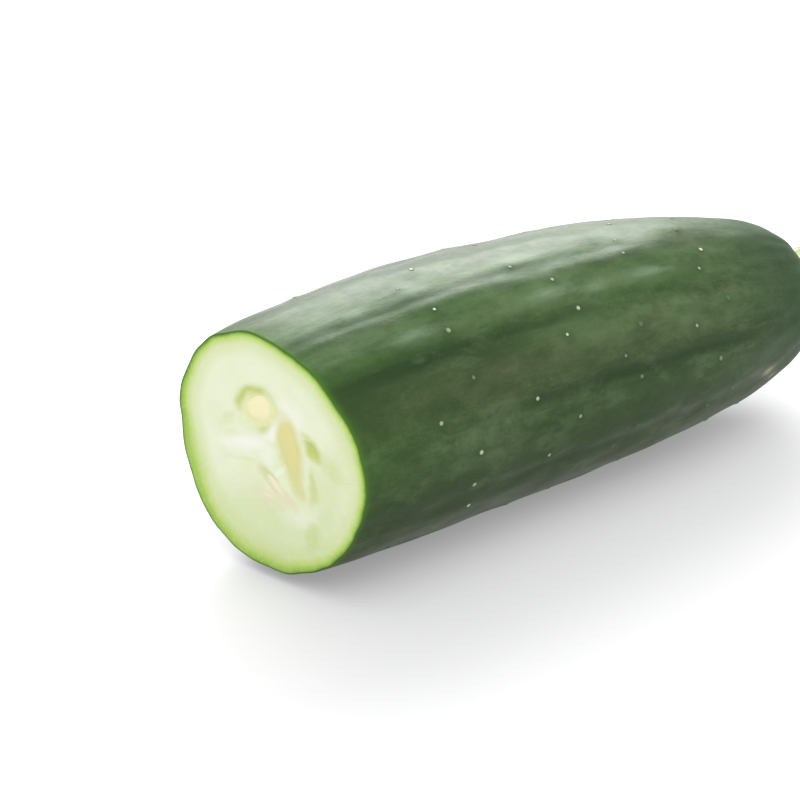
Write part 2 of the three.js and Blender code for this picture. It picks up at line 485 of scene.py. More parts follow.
class NodeBoard:
    """One material's nodes, and the few ways of adding to them."""

    def __init__(self, name: str) -> None:
        """Makes an empty material.

        Args:
            name: The material's name.
        """
        self.material = bpy.data.materials.new(name)
        self.material.use_nodes = True
        self.tree = self.material.node_tree
        self.tree.nodes.clear()

    def add(
        self,
        kind: str,
        settings: dict[str, object] | None = None,
        inputs: dict[int | str, object] | None = None,
        output: int | str = 0,
    ) -> Signal:
        """Adds one node.

        Args:
            kind: The node's type.
            settings: What is set on the node first.
            inputs: A value or a Signal for each socket, by its number or name.
            output: The socket that the result reads.

        Returns:
            The node's output.
        """
        node = self.tree.nodes.new(kind)
        for name, value in (settings or {}).items():
            setattr(node, name, value)
        for key, value in (inputs or {}).items():
            if isinstance(value, Signal):
                self.tree.links.new(value.socket, node.inputs[key])
            elif isinstance(value, tuple) and node.inputs[key].type == "RGBA":
                node.inputs[key].default_value = (*value, 1.0)
            else:
                node.inputs[key].default_value = value
        return Signal(self, node.outputs[output])

    def attribute(self, name: str) -> Signal:
        """A number stored on the piece's mesh."""
        return self.add("ShaderNodeAttribute", {"attribute_name": name}, output="Fac")

    def vector_attribute(self, name: str) -> Signal:
        """A vector stored on the piece's mesh."""
        return self.add("ShaderNodeAttribute", {"attribute_name": name}, output="Vector")

    def place(self) -> Signal:
        """The point in the piece's own metres."""
        return self.add("ShaderNodeTexCoord", output="Object")

    def grain(self, vector: Signal, kind: Grain) -> Signal:
        """Noise from 0 to 1.

        Args:
            vector: Where it is read.
            kind: What it is like.

        Returns:
            The noise.
        """
        if kind.stretch:
            drawn_out = {"Vector": vector, "Scale": kind.stretch, "Location": kind.move}
            vector = self.add("ShaderNodeMapping", inputs=drawn_out)
        inputs = {"Scale": kind.hills, "Detail": kind.detail, "Roughness": kind.roughness}
        return self.add("ShaderNodeTexNoise", inputs={"Vector": vector, **inputs})

    def spread(
        self, value: Signal, low: float, high: float, first: float = 0.0, last: float = 1.0
    ) -> Signal:
        """Eases a value's stretch from low to high into another stretch.

        Args:
            value: The value to ease.
            low: Where the result starts to change.
            high: Where it stops.
            first: The result at low.
            last: The result at high.

        Returns:
            The eased value.
        """
        span = {"From Min": low, "From Max": high, "To Min": first, "To Max": last}
        ease_in_out = {"interpolation_type": "SMOOTHSTEP"}
        return self.add("ShaderNodeMapRange", ease_in_out, {"Value": value, **span})

    def mix(
        self, share: Signal | float, first: Signal | Colour, second: Signal | Colour
    ) -> Signal:
        """Blends two colours.

        Args:
            share: How much of the second colour is used.
            first: The colour below.
            second: The colour on top.

        Returns:
            The blended colour.
        """
        settings = {"data_type": "RGBA", "clamp_factor": True}
        return self.add("ShaderNodeMix", settings, {0: share, 6: first, 7: second}, output=2)

    def layered(self, ground: Signal | Colour, *layers: tuple[Signal, Colour]) -> Signal:
        """Lays colours over a ground, one after another.

        Args:
            ground: The lowest colour.
            layers: For each colour above it, how much of it is used, and the colour.

        Returns:
            The blended colour.
        """
        for share, colour in layers:
            ground = self.mix(share, ground, colour)
        return ground

    def finish(
        self, inputs: dict[int | str, object], height: Signal | None = None, relief: float = 0.0
    ) -> bpy.types.Material:
        """Ends the nodes in one surface shader.

        Args:
            inputs: What its sockets are given.
            height: A height for its bumps, from 0 to 1.
            relief: How high the bumps stand, in millimetres.

        Returns:
            The material.
        """
        given = dict(inputs)
        if height is not None:
            bump = {"Height": height, "Distance": relief * MM}
            given["Normal"] = self.add("ShaderNodeBump", inputs=bump)
        surface = self.add("ShaderNodeBsdfPrincipled", inputs=given)
        output = self.tree.nodes.new("ShaderNodeOutputMaterial")
        self.tree.links.new(surface.socket, output.inputs["Surface"])
        return self.material


@dataclass(frozen=True)
class PeelFinish:
    """Waxy dark green skin, streaked and mottled along its length, with painted shade in its
    furrows and on its underside.

    Streaks, threads, patches, blotches and clouds are noise on the skin's flow coordinates, given
    by their hills to the millimetre along the skin and round it. Mottling and speckle are noise on
    the piece's own metres. A span says where a noise lets a colour through, and how much of it.
    """

    dark: Colour = (0.016, 0.042, 0.007)
    middle: Colour = (0.042, 0.081, 0.024)
    light: Colour = (0.086, 0.136, 0.056)
    olive: Colour = (0.060, 0.077, 0.028)
    # Painted shade: darker colour laid along the furrows.
    furrow: Colour = (0.009, 0.024, 0.005)
    fresh: Colour = (0.026, 0.066, 0.003)
    rim: Colour = (0.050, 0.135, 0.008)
    stem_end: Colour = (0.009, 0.040, 0.006)
    # Painted shade: darker colour on the fruit's underside.
    under: Colour = (0.016, 0.034, 0.001)
    streaks: Grain = Grain(1.0, 5.0, 0.6, (0.026, 0.14, 0.14))
    threads: Grain = Grain(1.0, 4.0, 0.62, (0.12, 0.62, 0.62))
    patches: Grain = Grain(1.0, 4.0, 0.6, (0.03, 0.12, 0.12), (7.0, 3.0, 1.0))
    blotches: Grain = Grain(1.0, 4.0, 0.65, (0.14, 0.26, 0.26), (2.0, 9.0, 4.0))
    clouds: Grain = Grain(1.0, 5.0, 0.68, (0.10, 0.20, 0.20), (5.0, 2.0, 8.0))
    mottling: Grain = Grain(420.0, 4.0, 0.65)
    speckle: Grain = Grain(1500.0, 2.0, 0.5)
    middle_span: Span = (0.42, 0.64)
    patch_span: Span = (0.50, 0.68)
    olive_span: Span = (0.48, 0.68, 0.0, 0.6)
    mottled_span: Span = (0.42, 0.7, 0.0, 0.5)
    speckled_span: Span = (0.5, 0.8, 0.0, 0.25)
    light_cloud_span: Span = (0.50, 0.66, 0.0, 0.30)
    dark_cloud_span: Span = (0.34, 0.50, 0.45, 0.0)
    shares: tuple[str, ...] = (
        "crest", "fresh", "stem_end", "under", "bloom", "furrow", "halo", "scar", "rim"
    )
    wax: Pair = (0.29, 0.39)
    refraction: float = 1.42
    mirror: float = 0.3
    relief: float = 0.12

    def make(self) -> bpy.types.Material:
        """Builds the material.

        Returns:
            The material.
        """
        board = NodeBoard("peel")
        flow = board.vector_attribute("grain")
        place = board.place()
        shares = {name: board.attribute(name) for name in self.shares}

        along_skin = (self.streaks, self.threads, self.patches, self.blotches, self.clouds)
        streaks, threads, patches, blotches, clouds = (
            board.grain(flow, kind) for kind in along_skin
        )
        mottling = board.grain(place, self.mottling)
        speckle = board.grain(place, self.speckle)
        # The crest share makes the ribs' crests lighter and their grooves darker: partly the ribs'
        # own tone, partly painted highlight on the crests and painted shade in the grooves.
        depth = streaks * 0.42 + blotches * 0.3 + shares["crest"] * 0.1 + threads * 0.24
        uneven = 0.5 + blotches
        calm = 1.0 - shares["stem_end"] * 0.7
        # The dark and light patches also carry painted shade and painted highlight.
        tones = (SkinTone.LEAF, SkinTone.OLIVE, SkinTone.LIGHT, SkinTone.DARK)
        colour = board.layered(
            self.dark,
            (board.spread(depth, *self.middle_span), self.middle),
            (board.spread(patches, *self.patch_span) * 0.7, self.light),
            (board.spread(blotches, *self.olive_span), self.olive),
            (board.spread(mottling, *self.mottled_span), self.dark),
            (board.spread(speckle, *self.speckled_span), self.light),
            (shares["fresh"] * 0.6, self.fresh),
            (shares["stem_end"] * 0.92, self.stem_end),
            # Painted shade on the underside.
            (shares["under"] * 0.9, self.under),
            *((board.attribute(tone.name.lower()) * uneven, tone.value) for tone in tones),
            (board.spread(clouds, *self.light_cloud_span) * calm, self.light),
            (board.spread(clouds, *self.dark_cloud_span) * calm, self.dark),
            # Painted sheen and highlight, with the wax's bloom, on the lit top and the rib crests.
            (shares["bloom"] * (threads * 2.0 - 0.25), SkinTone.BLOOM.value),
            # Painted shade along the furrows.
            (shares["furrow"] * 0.5, self.furrow),
            (shares["halo"] * 0.5, self.dark),
            (shares["scar"], SkinTone.SCAR.value),
            (shares["rim"] * 0.85, self.rim),
        )
        wax = board.spread(mottling * 0.5 + threads * 0.5, 0.3, 0.7, *self.wax)
        surface = {
            "Base Color": colour,
            "Roughness": wax + shares["fresh"] * 0.15 + shares["stem_end"] * 0.2,
            "IOR": self.refraction,
            "Specular IOR Level": self.mirror,
        }
        return board.finish(surface, threads * 0.45 + mottling * 0.4 + speckle * 0.15, self.relief)


@dataclass(frozen=True)
class WartFinish:
    """A small dry wart: a pale tip on a green foot."""

    foot: Colour = (0.026, 0.058, 0.010)
    tip: Colour = (0.420, 0.490, 0.310)
    uneven: Grain = Grain(2400.0, 2.0)
    tip_span: Span = (0.25, 0.75)
    roughness: float = 0.55
    relief: float = 0.1

    def make(self) -> bpy.types.Material:
        """Builds the material.

        Returns:
            The material.
        """
        board = NodeBoard("wart")
        uneven = board.grain(board.place(), self.uneven)
        share = board.spread(board.attribute("tip") + (uneven - 0.5) * 0.3, *self.tip_span)
        colour = board.mix(share * board.attribute("pale"), self.foot, self.tip)
        surface = {"Base Color": colour, "Roughness": self.roughness}
        return board.finish(surface, uneven, self.relief)


class FleshTone(Enum):
    """The tones that show on the cut face, each with the colour it is mixed from."""

    GEL = (0.560, 0.615, 0.310)
    MOSS = (0.420, 0.480, 0.085)
    FIBRE = (0.755, 0.765, 0.705)
    GREEN = (0.410, 0.520, 0.150)
    CREAM = (0.650, 0.605, 0.420)
    TAN = (0.590, 0.550, 0.230)
    PALE = (0.660, 0.650, 0.350)


@dataclass(frozen=True)
class FleshFinish:
    """Wet pale flesh: a green band under the skin that fades inwards, and the seed core's tones.

    The spans up to the flesh's are in millimetres from the rim, by the band's measure.
    """

    skin_line: Colour = (0.105, 0.240, 0.012)
    lime: Colour = (0.225, 0.410, 0.018)
    yellow_green: Colour = (0.440, 0.560, 0.150)
    outer_flesh: Colour = (0.575, 0.640, 0.370)
    flesh: Colour = (0.670, 0.705, 0.530)
    cloud: Grain = Grain(130.0, 3.0, 0.55)
    fleck: Grain = Grain(900.0, 3.0, 0.6)
    lime_span: Span = (0.45, 0.95)
    yellow_span: Span = (0.7, 2.3)
    outer_span: Span = (1.7, 4.2)
    flesh_span: Span = (5.0, 11.0)
    cloud_span: Span = (0.35, 0.7, 0.0, 0.10)
    fleck_span: Span = (0.45, 0.75, 0.0, 0.10)
    wet: Pair = (0.31, 0.39)
    depth_share: float = 0.2
    depth_colour: Colour = (1.0, 1.0, 0.5)
    depth: float = 0.5
    mirror: float = 0.3
    relief: float = 0.10

    def make(self) -> bpy.types.Material:
        """Builds the material.

        Returns:
            The material.
        """
        board = NodeBoard("flesh")
        place = board.place()
        cloud = board.grain(place, self.cloud)
        fleck = board.grain(place, self.fleck)
        inward = board.attribute("inward") + (fleck - 0.5) * 0.16 + (cloud - 0.5) * 0.5
        across_band = inward * board.attribute("band")
        colour = board.layered(
            self.skin_line,
            (board.spread(inward, *self.lime_span), self.lime),
            (board.spread(across_band, *self.yellow_span), self.yellow_green),
            (board.spread(across_band, *self.outer_span), self.outer_flesh),
            (board.spread(across_band + cloud * 3.0, *self.flesh_span), self.flesh),
            *((board.attribute(tone.name.lower()), tone.value) for tone in FleshTone),
            (board.spread(cloud, *self.cloud_span), self.yellow_green),
            (board.spread(fleck, *self.fleck_span), FleshTone.FIBRE.value),
        )
        surface = {
            "Base Color": colour,
            "Roughness": board.spread(fleck * 0.5 + cloud * 0.5, 0.35, 0.65, *self.wet),
            "Subsurface Weight": self.depth_share,
            "Subsurface Radius": self.depth_colour,
            "Subsurface Scale": self.depth * MM,
            "Specular IOR Level": self.mirror,
        }
        return board.finish(surface, fleck * 0.4 + cloud * 0.6, self.relief)


class SeedTone(Enum):
    """How far a seed has grown: its middle colour and its edge colour."""

    PALE = ((0.740, 0.700, 0.430), (0.675, 0.665, 0.375))
    TAN = ((0.605, 0.560, 0.240), (0.600, 0.575, 0.270))
    CREAM = ((0.670, 0.630, 0.440), (0.655, 0.630, 0.430))


@dataclass(frozen=True)
class SeedFinish:
    """The wet coat of a seed, in one tone."""

    tone: SeedTone
    cloud: Grain = Grain(300.0, 3.0)
    fine: Grain = Grain(1400.0, 2.0)
    edge_span: Span = (0.35, 0.85)
    fibre_span: Span = (0.45, 0.8, 0.0, 0.06)
    wet: Pair = (0.28, 0.38)
    mirror: float = 0.3
    relief: float = 0.06

    def make(self) -> bpy.types.Material:
        """Builds the material.

        Returns:
            The material.
        """
        middle, edge = self.tone.value
        board = NodeBoard(f"seed_{self.tone.name.lower()}")
        place = board.place()
        cloud = board.grain(place, self.cloud)
        fine = board.grain(place, self.fine)
        share = board.spread(board.attribute("edge") + (cloud - 0.5) * 0.4, *self.edge_span)
        fibre = board.spread(fine, *self.fibre_span)
        surface = {
            "Base Color": board.layered(middle, (share, edge), (fibre, FleshTone.FIBRE.value)),
            "Roughness": board.spread(cloud, 0.3, 0.7, *self.wet),
            "Specular IOR Level": self.mirror,
        }
        return board.finish(surface, cloud * 0.7 + fine * 0.3, self.relief)


@dataclass(frozen=True)
class StemFinish:
    """The dry stem stub: pale green, fibrous along its length, with a corky cut end."""

    pale: Colour = (0.560, 0.600, 0.360)
    green: Colour = (0.250, 0.340, 0.120)
    cork: Colour = (0.500, 0.450, 0.320)
    bruise: Colour = (0.190, 0.170, 0.100)
    fibre: Grain = Grain(1.0, 3.0, 0.6, (120.0, 1400.0, 1400.0))
    blotch: Grain = Grain(500.0, 3.0)
    foot_span: Span = (0.0, 0.45, 0.85, 0.2)
    fibre_span: Span = (0.35, 0.7, 0.0, 0.65)
    blotch_span: Span = (0.5, 0.8, 0.0, 0.4)
    dry: Pair = (0.6, 0.8)
    relief: float = 0.2

    def make(self) -> bpy.types.Material:
        """Builds the material.

        Returns:
            The material.
        """
        board = NodeBoard("stem")
        place = board.place()
        fibre = board.grain(place, self.fibre)
        blotch = board.grain(place, self.blotch)
        colour = board.layered(
            self.pale,
            (board.spread(board.attribute("up_stem"), *self.foot_span), self.green),
            (board.spread(fibre, *self.fibre_span), self.green),
            (board.spread(blotch, *self.blotch_span), self.cork),
            (board.attribute("cut_end"), self.cork),
            (board.attribute("end_rim") * 0.7, self.bruise),
        )
        surface = {"Base Color": colour, "Roughness": board.spread(fibre, 0.3, 0.7, *self.dry)}
        return board.finish(surface, fibre * 0.7 + blotch * 0.3, self.relief)


@dataclass(frozen=True)
class FloorFinish:
    """A plain pale floor that glows a little, and fades into the surround towards its edges."""

    colour: Colour = (0.46, 0.46, 0.466)
    glow: Colour = (0.25, 0.25, 0.25)
    edge_glow: Colour = (0.75, 0.75, 0.75)
    fade: Span = (0.42, 0.72)
    cloud: Grain = Grain(3.0, 2.0)
    unevenness: float = 0.99
    roughness: float = 0.7

    def make(self) -> bpy.types.Material:
        """Builds the material.

        Returns:
            The material.
        """
        board = NodeBoard("floor")
        place = board.place()
        cloud = board.grain(place, self.cloud)
        far = board.add("ShaderNodeVectorMath", {"operation": "LENGTH"}, {0: place}, "Value")
        other = tuple(value * self.unevenness for value in self.colour)
        surface = {
            "Base Color": board.mix(cloud, self.colour, other),
            "Roughness": self.roughness,
            "Emission Color": board.mix(board.spread(far, *self.fade), self.glow, self.edge_glow),
            "Emission Strength": 1.0,
        }
        return board.finish(surface)


def deselect() -> None:
    """Leaves nothing selected."""
    bpy.ops.object.select_all(action="DESELECT")


def pick(piece: bpy.types.Object) -> None:
    """Leaves one piece selected, and active.

    Args:
        piece: The piece.
    """
    deselect()
    piece.select_set(True)
    bpy.context.view_layer.objects.active = piece


def added(name: str) -> bpy.types.Object:
    """The primitive that was just added, under its name.

    Args:
        name: The name for the piece and its mesh.

    Returns:
        The piece.
    """
    piece = bpy.context.object
    piece.name = piece.data.name = name
    return piece


def copied(model: bpy.types.Object, name: str) -> bpy.types.Object:
    """Copies a piece, with a mesh of its own.

    Args:
        model: The piece to copy.
        name: The copy's name.

    Returns:
        The copy.
    """
    piece = model.copy()
    piece.data = model.data.copy()
    piece.name = piece.data.name = name
    bpy.context.collection.objects.link(piece)
    return piece


@contextmanager
def editing(piece: bpy.types.Object) -> Iterator[None]:
    """Edit mode on one piece with all of it selected, and object mode again after it.

    Args:
        piece: The piece to edit.
    """
    pick(piece)
    bpy.ops.object.mode_set(mode="EDIT")
    bpy.ops.mesh.select_all(action="SELECT")
    yield
    bpy.ops.object.mode_set(mode="OBJECT")


def draw_up(rise: float, ratio: float) -> None:
    """In edit mode, extrudes what is selected upwards and resizes it."""
    bpy.ops.mesh.extrude_region_move(TRANSFORM_OT_translate={"value": (0, 0, rise)})
    bpy.ops.transform.resize(value=(ratio, ratio, 1.0))


def close_top() -> None:
    """In edit mode, fans what is selected and turns all faces outwards."""
    bpy.ops.mesh.poke()
    bpy.ops.mesh.select_all(action="SELECT")
    bpy.ops.mesh.normals_make_consistent(inside=False)


def store(mesh: bpy.types.Mesh, name: str, values: Values) -> None:
    """Keeps a number or a vector for each of a mesh's points.

    Args:
        mesh: The mesh.
        name: The name that a material reads it by.
        values: One number or one row of three for each point.
    """
    kind, key = ("FLOAT_VECTOR", "vector") if values.ndim > 1 else ("FLOAT", "value")
    layer = mesh.attributes.new(name, kind, "POINT")
    layer.data.foreach_set(key, np.ascontiguousarray(values, np.float32).ravel())


def points_of(mesh: bpy.types.Mesh) -> Values:
    """A mesh's points.

    Args:
        mesh: The mesh.

    Returns:
        Rows of three coordinates.
    """
    flat = np.zeros(len(mesh.vertices) * 3, np.float32)
    mesh.vertices.foreach_get("co", flat)
    return flat.reshape(-1, 3).astype(float)


def set_points(mesh: bpy.types.Mesh, points: Values) -> None:
    """Gives a mesh new points."""
    mesh.vertices.foreach_set("co", np.ascontiguousarray(points, np.float32).ravel())
    mesh.update()


def rolled_sheet(
    name: str, columns: int, rows: int, place: Place, outward: Callable[[Values], Values]
) -> bpy.types.Object:
    """A grid that is rolled round a form, with its seam and poles closed.

    Args:
        name: The piece's name.
        columns: Faces round the form.
        rows: Faces along it.
        place: Gives the points, and the values to store, for shares round and along.
        outward: Gives a direction out of the form at each point.

    Returns:
        The piece.
    """
    deselect()
    bpy.ops.mesh.primitive_grid_add(x_subdivisions=columns, y_subdivisions=rows, size=1.0)
    piece = added(name)
    mesh = piece.data
    flat = points_of(mesh)
    points, values = place(flat[:, 0] + 0.5, flat[:, 1] + 0.5)
    set_points(mesh, points)
    for key, numbers in values.items():
        store(mesh, key, numbers)
    with editing(piece):
        bpy.ops.mesh.remove_doubles(threshold=SEAM * MM)
    normals = np.zeros(len(mesh.vertices) * 3, np.float32)
    mesh.vertices.foreach_get("normal", normals)
    if (normals.reshape(-1, 3) * outward(points_of(mesh))).sum() < 0.0:
        with editing(piece):
            bpy.ops.mesh.flip_normals()
    return piece


def finish_piece(
    piece: bpy.types.Object, material: bpy.types.Material, slot: Slot, node: str
) -> None:
    """Smooths and dresses a piece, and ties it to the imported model.

    Args:
        piece: The finished piece, its place in its mesh.
        material: Its material.
        slot: The record's slot that it takes its finish from.
        node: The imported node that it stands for.
    """
    pick(piece)
    bpy.ops.object.shade_smooth()
    piece.data.materials.clear()
    piece.data.materials.append(material)
    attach(piece, BODY)
    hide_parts(node)
    LOG.info("%s: %d faces, %s", piece.name, len(piece.data.polygons), slot.value)


SKIN_MARKS: dict[SkinTone, tuple[SkinMark, ...]] = {
    # Bloom patches: part the wax's pale bloom, part painted sheen and highlight along the lit top
    # near 96 to 104 degrees and on the rib crests near 116 to 121 degrees.
    SkinTone.BLOOM: rows_of(
        SkinMark,
        (33, 118.5, 8, 2.4, 0.52),
        (72, 118.0, 9, 2.1, 0.58),
        (85, 120.5, 6, 1.8, 0.48),
        (102, 119.0, 8, 2.0, 0.62),
        (12, 116.0, 12, 3.0, 0.16),
        (52, 104.2, 44, 1.3, 0.46),
        (20, 104.0, 18, 1.3, 0.24),
        (18, 96.0, 36, 4.4, 0.60),
        (80, 97.0, 50, 4.4, 0.66),
        (46, 20.0, 12, 2.2, 0.45),
        (92, 352.0, 10, 2.0, 0.45),
        (28, 335.0, 9, 2.2, 0.40),
    ),
    SkinTone.LEAF: rows_of(
        SkinMark,
        (60, 111.0, 95, 3.6, 0.60),
        (18, 124.0, 40, 3.6, 0.60),
        (102, 126.0, 44, 4.2, 0.50),
        (66, 136.0, 22, 2.8, 0.40),
        (8, 168.0, 26, 6.0, 0.45),
        (40, 44.0, 60, 4.0, 0.55),
        (90, 4.0, 50, 4.0, 0.50),
        (110, 332.0, 40, 5.0, 0.50),
    ),
    SkinTone.OLIVE: rows_of(
        SkinMark,
        (52, 147.5, 46, 6.6, 0.75),
        (100, 154.0, 40, 4.6, 0.40),
        (60, 276.0, 70, 8.0, 0.50),
        (64, 28.0, 44, 5.0, 0.55),
        (30, 322.0, 44, 6.0, 0.55),
    ),
    # Light patches: part lighter skin, part painted highlight on the rib crests near 112 to 121
    # degrees and painted reflection near 133 to 148 degrees.
    SkinTone.LIGHT: rows_of(
        SkinMark,
        (72, 116.5, 24, 5.0, 0.50),
        (74, 133.0, 18, 4.0, 0.40),
        (76, 144.0, 20, 4.0, 0.40),
        (112, 148.0, 26, 5.0, 0.50),
        (42, 120.5, 34, 2.6, 0.35),
        (92, 121.0, 26, 3.4, 0.45),
        (20, 112.0, 24, 2.2, 0.30),
        (60, 277.0, 50, 6.0, 0.40),
        (100, 320.0, 44, 5.0, 0.45),
        (40, 352.0, 40, 6.0, 0.40),
        (110, 28.0, 40, 5.0, 0.40),
        (30, 60.0, 36, 3.0, 0.45),
        (76, 38.0, 26, 2.4, 0.50),
        (58, 318.0, 30, 2.6, 0.50),
    ),
    # Dark patches: part darker skin, part painted shade: thin lines in the grooves near 101, 108,
    # 131 and 166 degrees, and broad patches on the lower front side near 178 to 196 degrees.
    SkinTone.DARK: rows_of(
        SkinMark,
        (26, 134.0, 38, 7.0, 0.70),
        (34, 130.5, 46, 1.4, 0.80),
        (8, 146.0, 22, 7.0, 0.40),
        (42, 101.0, 56, 1.1, 0.80),
        (60, 107.8, 90, 1.6, 0.40),
        (94, 166.0, 54, 2.6, 0.80),
        (96, 180.0, 46, 7.0, 0.60),
        (46, 178.0, 40, 6.0, 0.35),
        (40, 196.0, 60, 8.0, 0.60),
        (108, 194.0, 40, 6.0, 0.50),
        (150, 128.0, 16, 16.0, 0.45),
        (80, 300.0, 60, 4.0, 0.50),
        (70, 12.0, 60, 5.0, 0.50),
        (90, 50.0, 50, 2.6, 0.60),
        (56, 345.0, 60, 2.0, 0.65),
        (36, 70.0, 44, 1.8, 0.55),
    ),
    SkinTone.SCAR: rows_of(
        SkinMark,
        (137, 200.0, 3.4, 2.2, 0.75),
        (140, 207.0, 2.2, 1.4, 0.50),
    ),
}


@dataclass
class Peel:
    """The skin from the cut's edge to the stem's dimple, with its ribs, furrows and soft lumps.

    The first rows of its grid stand at `edge_steps` from the cut and are tucked in by `edge_tucks`.
    Each reach says how far from the cut or from a wart a share of the finish fades.
    """

    form: FruitForm
    warts: list[Pair]
    finish: PeelFinish = PeelFinish()
    columns: int = 264
    body_rows: int = 92
    dome_rows: int = 150
    dome_samples: int = 4000
    edge_steps: tuple[float, ...] = (0.0, 0.0, 0.12, 0.4)
    edge_tucks: tuple[float, ...] = (0.35, 0.1, 0.0, 0.0)
    lump_height: float = 0.48
    lump_sizes: Pair = (9.0, 4.2)
    lump_shift: float = 31.0
    lump_squeeze: float = 0.42
    wart_swell: float = 0.14
    wart_spread: float = 2.4
    level_at: float = math.radians(99)
    level_reach: float = math.radians(26)
    fresh_reach: float = 7.0
    rim_reach: float = 0.6
    halo_reach: float = 1.7
    stem_end: Pair = (8.0, 46.0)
    # Painted shade: the skin darkens towards the underside, round this angle and over this span of
    # the cosine from it.
    underside_shade_at: float = math.radians(250)
    under: Pair = (0.30, 0.80)
    crest_fade: float = 1.6
    full_furrow: float = 0.2
    furrow_seed: int = 90210
    first_drawn_rib: int = 4
    furrows: tuple[Furrow, ...] = rows_of(
        Furrow,
        (101.6, -12, 78, 0.14, 1.2),
        (98.6, 34, 92, 0.05, 0.9),
        (133.8, 10, 76, 0.14, 1.2, 0.04),
        (129.0, 22, 50, 0.10, 1.0),
        (165.5, 48, 138, 0.20, 1.4, 0.05),
        (199.0, 40, 100, 0.10, 1.3),
        (79.0, 30, 110, 0.10, 1.2, 0.04),
    )

    def __post_init__(self) -> None:
        """Adds drawn furrows on the side that no list gives."""
        draws = Draws(self.furrow_seed)
        pitch = 360.0 / self.form.ribs
        given = math.degrees(self.form.groove_at)
        drawn = []
        for rib in range(self.first_drawn_rib, self.form.ribs - 1):
            start = draws.between(-8, 40)
            end = start + draws.between(50, 90)
            depth = draws.between(0.1, 0.24)
            drawn.append(Furrow(given + pitch * rib, start, end, depth, 1.2, 0.04))
        self.furrows = (*self.furrows, *drawn)

    def flow(self, along: Values, angle: Values) -> Values:
        """Coordinates for streaks: millimetres along, and a circle of the fruit's size round."""
        radius = self.form.cut_radius
        return np.stack([along, radius * np.cos(angle), radius * np.sin(angle)], -1)

    def furrow_share(self, along: Values, angle: Values) -> tuple[Values, Values]:
        """All furrows together.

        Args:
            along: Places on the axis.
            angle: Angles round it.

        Returns:
            How far the skin sinks, and how much it belongs to a furrow.
        """
        sunk, share = 0.0, 0.0
        for furrow in self.furrows:
            depth, line = furrow.profile(along, angle, self.form.belly_radius)
            sunk = sunk + depth
            share = np.maximum(share, line * min(furrow.depth / self.full_furrow, 1.0))
        return sunk, share

    def relief(self, along: Values, angle: Values) -> Values:
        """How far the skin stands out from the plain form, with its furrows and soft lumps.

        Args:
            along: Places on the axis.
            angle: Angles round it.

        Returns:
            The relief at each place, in millimetres.
        """
        squeezed = self.flow(along, angle) * np.array([self.lump_squeeze, 1.0, 1.0])
        lumps = ripples(squeezed, self.lump_sizes, self.lump_shift)
        level = ease(np.cos(angle - self.level_at), math.cos(self.level_reach), 1.0)
        levelled = self.form.rib_depth * self.form.groove(angle) * level
        return self.lump_height * lumps + levelled - self.furrow_share(along, angle)[0]

    def near_warts(self, along: Values, angle: Values, reach: float) -> Values:
        """How near the next wart is.

        Args:
            along: Places on the axis.
            angle: Angles round it.
            reach: How far from a wart its share fades, in millimetres.

        Returns:
            One number for each place, 1 on a wart.
        """
        near = np.zeros_like(along)
        for wart_along, wart_angle in self.warts:
            aside = turned_from(angle, wart_angle) * self.form.belly_radius
            near = np.maximum(near, np.exp(-((along - wart_along) ** 2 + aside**2) / reach**2))
        return near

    def row_stops(self) -> Values:
        """Spreads the dome's rows evenly over its outline.

        Returns:
            The rows' places along the axis.
        """
        form = self.form
        quarter = np.linspace(0.0, math.pi / 2, self.dome_samples)
        share = np.sin(quarter) ** (2.0 / form.shoulder_power)
        along = form.belly_at + (form.length - form.belly_at) * share
        steps = np.hypot(np.diff(along), np.diff(form.plain_radius(along)))
        run = np.concatenate([[0.0], np.cumsum(steps)])
        return np.interp(np.linspace(0.0, run[-1], self.dome_rows + 1), run, along)

    def row_places(self, row: Values, start: Values) -> Values:
        """Where the grid's rows stand: close together at the cut, then even along the skin.

        Args:
            row: Each point's row.
            start: Where the skin meets the cut there.

        Returns:
            Each point's place along the axis.
        """
        last = len(self.edge_steps) - 1
        step = self.edge_steps[last]
        share = (row - last) / (self.body_rows - last)
        on_body = start + step + (self.form.belly_at - start - step) * share
        on_edge = start + np.array(self.edge_steps)[np.minimum(row, last).astype(int)]
        on_dome = self.row_stops()[np.clip(row - self.body_rows, 0, self.dome_rows).astype(int)]
        return np.where(row > self.body_rows, on_dome, np.where(row > last, on_body, on_edge))

    def shares(self, along: Values, angle: Values, start: Values) -> dict[str, Values]:
        """What the finish reads.

        Args:
            along: Places on the axis.
            angle: Angles round it.
            start: Where the skin meets the cut at each of them.

        Returns:
            The values to store, by name.
        """
        form = self.form
        fade = ease(form.length - along, 0.0, form.rib_fade * self.crest_fade)
        from_cut = np.maximum(along - start, 0.0)
        # Painted shade on the underside.
        under = ease(np.cos(angle - self.underside_shade_at), *self.under)
        values = {
            "grain": self.flow(along, angle),
            # Lighter crests and darker grooves: partly the ribs' own tone, partly painted highlight
            # and groove shade.
            "crest": (1.0 - form.groove(angle)) * fade,
            # The furrows' share, which the finish paints darker as shade.
            "furrow": self.furrow_share(along, angle)[1],
            "fresh": np.exp(-from_cut / self.fresh_reach),
            "rim": np.exp(-from_cut / self.rim_reach),
            "stem_end": 1.0 - ease(form.length - along, *self.stem_end),
            "halo": self.near_warts(along, angle, self.halo_reach),
            "under": under * fade,
        }
        for tone, marks in SKIN_MARKS.items():
            spreads = [mark.spread(along, angle, form.belly_radius) for mark in marks]
            values[tone.name.lower()] = sum(spreads)
        return values

